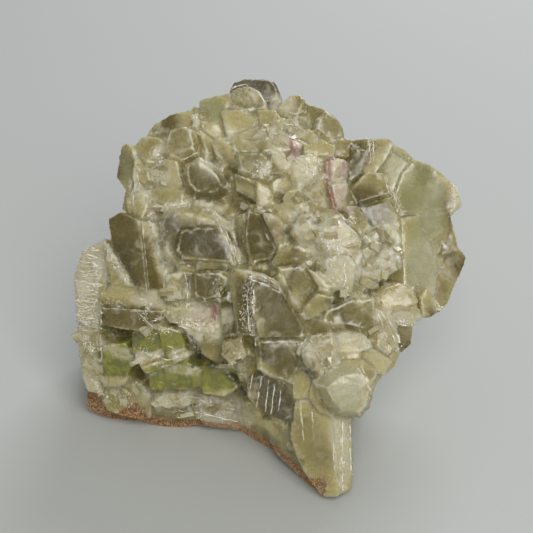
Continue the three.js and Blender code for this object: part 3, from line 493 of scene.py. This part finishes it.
# The body: the same crystals in small even squares, so that their surface can be worn
body = new_object("crystal_body", crystals.copy())
for swell in (0, GROOVE_FILL, -GROOVE_FILL):
    if swell:
        grow = body.modifiers.new("grow or shrink", "DISPLACE")
        grow.strength = swell
        grow.mid_level = 0
    remesh = body.modifiers.new("even squares", "REMESH")
    remesh.mode = "VOXEL"
    remesh.voxel_size = GRAIN
squares = applied(body)
places = np.empty(len(squares.vertices) * 3)
squares.vertices.foreach_get("co", places)
places = places.reshape(-1, 3)
outward = np.empty(len(squares.vertices) * 3)
squares.vertex_normals.foreach_get("vector", outward)
away = outward.reshape(-1, 3) @ np.array(TOWARD) < AWAY
random = np.random.default_rng(FACET_SEED)
beyond = places[away]
foot = places[away & (places[:, 2] < FOOT) & (places[:, 0] < 0)]
order = np.argsort(places[:, 0])
places = places[order]
for name, strokes in ZONES.items():
    spots = [(dab, radius * PIXEL) for line, radius in strokes for dab in dabs(line, radius)]
    count, radius = BEYOND.get(name, (0, 0))
    unseen = foot if name == "rust" else beyond
    chosen = unseen[random.integers(len(unseen), size=count)]
    spots += [(spot, radius * MM * random.uniform(0.5, 1)) for spot in chosen]
    strength = np.zeros(len(places), np.float32)
    for spot, reach in spots:
        near = slice(*np.searchsorted(places[:, 0], (spot[0] - reach, spot[0] + reach)))
        apart = np.linalg.norm(places[near] - np.array(spot), axis=1) / reach
        strength[near] = np.maximum(strength[near], np.clip(SOFT_BRUSH - SOFT_BRUSH * apart, 0, 1))
    painted = np.empty_like(strength)
    painted[order] = strength
    squares.attributes.new(name, "FLOAT", "POINT").data.foreach_set("value", painted)
body.data = squares

# Each point back onto its crystal's flat face, and what it is near: an edge, a groove, a facet
tree, given, made = new_tree("read the crystals", {
    "Crystals": "Object", "Crease": "Float", "Reach": "Float", "Material": "Material",
})
solid = add(tree, "GeometryNodeObjectInfo", _0=given["Crystals"]).outputs["Geometry"]
nearest = add(tree, "GeometryNodeProximity", {"target_element": "FACES"}, _0=solid)
close = add(
    tree, "FunctionNodeCompare", {"operation": "LESS_THAN"}, A=nearest.outputs["Distance"],
    B=given["Reach"])
geometry = add(
    tree, "GeometryNodeSetPosition", Geometry=given["Geometry"], Selection=close,
    Position=nearest.outputs["Position"])
angle = add(tree, "GeometryNodeInputMeshEdgeAngle").outputs["Signed Angle"]
for name, sign in (("from_edge", 1), ("from_groove", -1)):
    turned = add(tree, "ShaderNodeMath", TIMES, _0=angle, _1=sign)
    crease = add(tree, "FunctionNodeCompare", {"operation": "GREATER_THAN"}, A=turned, B=given["Crease"])
    lines = add(tree, "GeometryNodeSeparateGeometry", {"domain": "EDGE"}, Geometry=solid, Selection=crease)
    near = add(tree, "GeometryNodeProximity", {"target_element": "EDGES"}, _0=lines.outputs[0])
    distance = add(tree, "ShaderNodeMath", TIMES, _0=near.outputs["Distance"], _1=1 / MM)
    geometry = add(tree, "GeometryNodeStoreNamedAttribute", Geometry=geometry, Name=name, Value=distance)
facet = add(tree, "GeometryNodeInputNamedAttribute", Name="facet").outputs[0]
sample = add(tree, "GeometryNodeSampleNearestSurface", Mesh=solid, Value=facet)
geometry = add(
    tree, "GeometryNodeStoreNamedAttribute", Geometry=geometry, Name="facet", Value=sample.outputs[0])
end(tree, given, made, geometry)
body.data = applied(body, tree, Crystals=crystals_object, Crease=CREASE, Reach=GRAIN, Material=salt)

# Wear: nicked edges, a slow swell over the faces, and grit on the frost
tree, given, made = new_tree("wear the surface", {
    "Nick": "Float", "Swell": "Float", "Grit": "Float", "Low": "Vector", "High": "Vector",
    "Material": "Material",
})
here = add(tree, "GeometryNodeInputPosition")
normal = add(tree, "GeometryNodeInputNormal")
edge = add(tree, "GeometryNodeInputNamedAttribute", Name="from_edge")
frost = add(tree, "GeometryNodeInputNamedAttribute", Name="frost")
by_edge = add(tree, "ShaderNodeMapRange", SMOOTH, _0=edge, _1=0.1, _2=1.5, _3=1.0, _4=0.0)
chips = add(tree, "ShaderNodeTexNoise", Vector=here, Scale=across(2.2), Detail=2.0)
bitten = add(tree, "ShaderNodeMapRange", SMOOTH, _0=chips, _1=0.42, _2=0.68, _3=0.0, _4=-1.0)
nicked = add(tree, "ShaderNodeMath", TIMES, _0=bitten, _1=by_edge)
nicks = add(tree, "ShaderNodeMath", TIMES, _0=nicked, _1=given["Nick"])
waves = add(tree, "ShaderNodeTexNoise", Vector=here, Scale=across(7.7), Detail=1.0)
swell = add(tree, "ShaderNodeMapRange", _0=waves, _1=0.3, _2=0.7, _3=-1.0, _4=0.3)
swells = add(tree, "ShaderNodeMath", TIMES_PLUS, _0=swell, _1=given["Swell"], _2=nicks)
grit = add(tree, "ShaderNodeTexNoise", Vector=here, Scale=across(1.25), Detail=2.0)
rough = add(tree, "ShaderNodeMapRange", _0=grit, _1=0.3, _2=0.7, _3=-1.0, _4=0.2)
gritty = add(tree, "ShaderNodeMath", TIMES, _0=rough, _1=frost)
depth = add(tree, "ShaderNodeMath", TIMES_PLUS, _0=gritty, _1=given["Grit"], _2=swells)
level = add(tree, "ShaderNodeSeparateXYZ", _0=here)
above = add(tree, "ShaderNodeMapRange", SMOOTH, _0=level.outputs[2], _1=0.2 * MM, _2=MM, _3=0.0, _4=1.0)
depth_above = add(tree, "ShaderNodeMath", TIMES, _0=depth, _1=above)
offset = add(tree, "ShaderNodeVectorMath", SCALED, _0=normal, Scale=depth_above)
moved = add(tree, "ShaderNodeVectorMath", {"operation": "ADD"}, _0=here, _1=offset)
kept = boxed(tree, given, moved)
worn = add(tree, "GeometryNodeSetPosition", Geometry=given["Geometry"], Position=kept)
end(tree, given, made, worn)
smooth = body.modifiers.new("no folds", "SMOOTH")
smooth.factor = 0.5
smooth.iterations = 1
body.data = applied(
    body, tree, Material=salt, Nick=NICK, Swell=SWELL, Grit=GRIT, Low=cad_low, High=cad_high)

# Fewer triangles, which leaves the flat faces and the edges where they are
thin = body.modifiers.new("thin", "DECIMATE")
thin.ratio = BODY_TRIANGLES / (2 * len(body.data.polygons))
body.data = applied(body)

# Nothing sticks out of the solid's box
places = np.empty(len(body.data.vertices) * 3, np.float32)
body.data.vertices.foreach_get("co", places)
places = np.clip(places.reshape(-1, 3), np.array(cad_low, np.float32), np.array(cad_high, np.float32))
body.data.vertices.foreach_set("co", places.ravel())
for polygon in body.data.polygons:
    polygon.use_smooth = True
bpy.data.objects.remove(crystals_object)


def block(name, corner):
    """A rough block a unit wide with uneven corners, to be strewn."""
    shape = bmesh.new()
    bmesh.ops.create_cube(shape, size=1)
    random = np.random.default_rng(FACET_SEED)
    for vertex in shape.verts:
        vertex.co *= 1 - corner * random.random()
    mesh = bpy.data.meshes.new(name)
    shape.to_mesh(mesh)
    shape.free()
    return new_object(name, mesh)


# Small blocks strewn on the body, as many as its painted zone and its grooves ask for, and fewer
# at the points that lie exactly on an edge
tree, given, made = new_tree("strew", {
    "Shape": "Object", "Density": "Float", "Zone": "String", "Zone Share": "Float",
    "Groove Share": "Float", "Width": "Float", "Least": "Vector", "Most": "Vector", "Seed": "Int",
    "Low": "Vector", "High": "Vector", "Material": "Material", "Turn": "Vector",
})
zone = add(tree, "GeometryNodeInputNamedAttribute", Name=given["Zone"])
groove = add(tree, "GeometryNodeInputNamedAttribute", Name="from_groove")
by_groove = add(tree, "ShaderNodeMapRange", SMOOTH, _0=groove, _1=0.2, _2=1.2, _3=1.0, _4=0.0)
here = add(tree, "GeometryNodeInputPosition")
patches = add(tree, "ShaderNodeTexNoise", Vector=here, Scale=across(6.2), Detail=2.0)
patchy = add(tree, "ShaderNodeMapRange", SMOOTH, _0=patches, _1=0.45, _2=0.62)
grooves = add(tree, "ShaderNodeMath", TIMES, _0=by_groove, _1=patchy)
grooves = add(tree, "ShaderNodeMath", TIMES, _0=grooves, _1=given["Groove Share"])
share = add(tree, "ShaderNodeMath", TIMES_PLUS, _0=zone, _1=given["Zone Share"], _2=grooves)
edge = add(tree, "GeometryNodeInputNamedAttribute", Name="from_edge")
beside = add(tree, "FunctionNodeCompare", {"operation": "GREATER_THAN"}, A=edge.outputs[0], B=0.0)
allowed = add(tree, "ShaderNodeMath", TIMES, _0=share, _1=beside)
density = add(tree, "ShaderNodeMath", TIMES, _0=allowed, _1=given["Density"])
points = add(
    tree, "GeometryNodeDistributePointsOnFaces", Mesh=given["Geometry"], Density=density,
    Seed=given["Seed"])
stretch = add(
    tree, "FunctionNodeRandomValue", VECTORS, _0=given["Least"], _1=given["Most"], Seed=given["Seed"])
size = add(tree, "ShaderNodeVectorMath", SCALED, _0=stretch, Scale=given["Width"])
spin = add(tree, "FunctionNodeRandomValue", VECTORS, _0=(-1, -1, -1), _1=(1, 1, 1), Seed=given["Seed"])
spun = add(tree, "ShaderNodeVectorMath", TIMES, _0=spin, _1=given["Turn"])
shape = add(tree, "GeometryNodeObjectInfo", _0=given["Shape"])
strewn = add(
    tree, "GeometryNodeInstanceOnPoints", Points=points, Instance=shape.outputs["Geometry"], Scale=size,
    Rotation=points.outputs["Rotation"])
strewn = add(tree, "GeometryNodeRotateInstances", _0=strewn, Rotation=spun)
whole = add(tree, "GeometryNodeRealizeInstances", _0=strewn)
inside = add(tree, "GeometryNodeSetPosition", Geometry=whole, Position=boxed(tree, given, here))
end(tree, given, made, inside)
strew = tree

# Frost: white halite fragments, crushed and glossy, that sparkle
frost = mottled(
    "halite, crushed white frost", ("#faf7ea", "#ded6bc"), 2,
    {"Roughness": 0.1, "Transmission Weight": 0.3})
# Grains: small blocks of the same salt, clear with a little milk
grains = mottled(
    "halite, small clear grains", ("#e6dfc3", "#c7be92"), 3.8,
    {"Roughness": 0.22, "Transmission Weight": 0.6})
# Iron stain: red salt in thin seams
stained = mottled(
    "halite, red iron-stained seam", ("#a05a4d", "#cfa795"), 1.1,
    {"Roughness": 0.3, "Transmission Weight": 0.3})
# Rust: grains of iron-stained clay, dull and crumbly
rust = mottled("iron-stained clay, crumbly", ("#987450", "#ab875e"), 2.4, {"IOR": 1.56, "Roughness": 0.75})
# Inclusions: dark grey clay smeared in the salt
clay = mottled("clay, dark grey smear", ("#2f312b", "#6d6c5e"), 1.1, {"IOR": 1.56, "Roughness": 0.4})

# Lines on the surface: seams of frost, some of them painted highlights along glinting edges, seams of
# stain and clay, and the fan's fibres
tree, given, made = new_tree("seams", {
    "Radius": "Float", "Step": "Float", "Wander": "Float", "Low": "Vector", "High": "Vector",
    "Material": "Material",
})
here = add(tree, "GeometryNodeInputPosition")
curves = add(tree, "GeometryNodeMeshToCurve", Mesh=given["Geometry"])
curves = add(tree, "GeometryNodeResampleCurve", {"mode": "LENGTH"}, Curve=curves, Length=given["Step"])
drift = add(tree, "ShaderNodeTexNoise", Vector=here, Scale=across(2.4), Detail=2.0)
centred = add(
    tree, "ShaderNodeVectorMath", {"operation": "SUBTRACT"}, _0=drift.outputs["Color"],
    _1=(0.5, 0.5, 0.5))
offset = add(tree, "ShaderNodeVectorMath", SCALED, _0=centred, Scale=given["Wander"])
curves = add(tree, "GeometryNodeSetPosition", Geometry=curves, Offset=offset)
swell = add(tree, "ShaderNodeTexNoise", Vector=here, Scale=across(1.4), Detail=1.0)
thick = add(tree, "ShaderNodeMapRange", _0=swell, _1=0.35, _2=0.65, _3=0.15, _4=1.6)
ring = add(tree, "GeometryNodeCurvePrimitiveCircle", Resolution=5, Radius=given["Radius"])
tubes = add(
    tree, "GeometryNodeCurveToMesh", Curve=curves, Profile_Curve=ring.outputs[0], Scale=thick,
    Fill_Caps=True)
inside = add(tree, "GeometryNodeSetPosition", Geometry=tubes, Position=boxed(tree, given, here))
end(tree, given, made, inside)

# Each seam's name, material, radius, step and wander in millimetres, and its lines of pixels
for name, dress, radius, step, wander, lines in (
    ("white_seams", frost, 0.14, 0.4, 0.9, WHITE_SEAMS_AND_HIGHLIGHTS),
    ("red_seams", stained, 0.22, 0.4, 1.2, RED_SEAMS),
    ("clay_smears", clay, 0.45, 0.4, 1.6, CLAY_SMEARS),
    ("fan_fibres", frost, 0.08, 0.6, 1.4, FAN_FIBRES),
):
    corners, sides = [], []
    for line in lines:
        chain = list(dabs(line, SEAM_BRUSH))
        sides += [(len(corners) + i, len(corners) + i + 1) for i in range(len(chain) - 1)
                  if (chain[i] - chain[i + 1]).length < SEAM_GAP]
        corners += chain
    paths = bpy.data.meshes.new(name)
    paths.from_pydata(corners, sides, [])
    piece = new_object(name, paths)
    piece.data = applied(
        piece, tree, Radius=radius * MM, Step=step * MM, Wander=wander * MM,
        Low=cad_low, High=cad_high, Material=dress)
    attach(piece, "root")
    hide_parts("crystal_cluster")

# Each strewn piece's name, zone, material, blocks per square millimetre, the shares of those in
# its zone and in the grooves, width in millimetres, its least and most length, breadth and height
# as shares of the width, the turn in radians, and the seed
ANY_WAY = (3.0, 3.0, 3.0)
chip = block("chip", 0.5)
for name, zone, dress, density, share, grooves, width, least, most, turn, seed in (
    ("frost_chips", "frost", frost, 2.6, 0.25, 0.3, 0.25,
     (0.4, 0.3, 0.3), (1.6, 1.2, 1.0), ANY_WAY, 11),
    ("glint_chips", "glint", frost, 6.5, 1.0, 0.0, 0.36,
     (0.5, 0.4, 0.3), (1.5, 1.2, 1.0), ANY_WAY, 12),
    ("small_crystals", "rubble", grains, 0.08, 1.0, 0.3, 3.0,
     (0.2, 0.4, 0.15), (1.9, 1.2, 0.8), (0.9, 0.9, 0.9), 13),
    ("rust_grains", "rust", rust, 5.0, 1.0, 0.0, 0.42,
     (0.5, 0.5, 0.5), (1.5, 1.4, 1.1), ANY_WAY, 14),
):
    piece = new_object(name, body.data)
    shares = {"Zone Share": share, "Groove Share": grooves}
    piece.data = applied(
        piece, strew, Shape=chip, Density=density / MM ** 2, Zone=zone, Width=width * MM,
        Least=least, Most=most, Seed=seed, Low=cad_low, High=cad_high, Material=dress, Turn=turn,
        **shares)
    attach(piece, "root")
    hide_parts("crystal_cluster")
bpy.data.objects.remove(chip)
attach(body, "root")
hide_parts("crystal_cluster")

# The table, the light and the camera
table = bpy.data.meshes.new("table")
corners = [(x * TABLE_HALF, y * TABLE_HALF, 0) for x, y in ((-1, -1), (1, -1), (1, 1), (-1, 1))]
table.from_pydata(corners, [], [(0, 1, 2, 3)])
floor = new_object("table", table)
board = bpy.data.materials.new("table, matte pale board")
board.use_nodes = True
board.node_tree.nodes["Principled BSDF"].inputs["Base Color"].default_value = linear("#a3a5a3")
board.node_tree.nodes["Principled BSDF"].inputs["Roughness"].default_value = 0.8
table.materials.append(board)


def lamp(name, place, aim, size, power, colour):
    """A soft square light that points at a place."""
    data = bpy.data.lights.new(name, "AREA")
    data.shape = "SQUARE"
    data.size = size
    data.energy = power
    data.color = linear(colour)[:3]
    obj = bpy.data.objects.new(name, data)
    obj.location = place
    obj.rotation_euler = (Vector(aim) - Vector(place)).to_track_quat("-Z", "Y").to_euler()
    scene.collection.objects.link(obj)


lamp(
    "front light", place=(0.2, -0.97, 0.92), aim=(0, 0, 0.04), size=0.8, power=19, colour="#fffdf8")
lamp(
    "back light", place=(0.35, 0.9, 0.7), aim=(0.1, 0.3, 0), size=0.6, power=9, colour="#f8faff")

world = bpy.data.worlds.new("studio")
world.use_nodes = True
world.node_tree.nodes["Background"].inputs["Color"].default_value = linear("#d5d8d8")
world.node_tree.nodes["Background"].inputs["Strength"].default_value = 0.45
scene.world = world
scene.view_settings.view_transform = "Standard"

camera = bpy.data.objects.new("camera", bpy.data.cameras.new("camera"))
camera.data.sensor_width = SENSOR_WIDTH
camera.data.lens = SENSOR_WIDTH * VIEW_DISTANCE / (PICTURE_WIDTH * PIXEL)
camera.location = VIEWPOINT
camera.rotation_euler = (math.radians(90) - VIEW_ELEVATION, 0, 0)
scene.collection.objects.link(camera)
scene.camera = camera
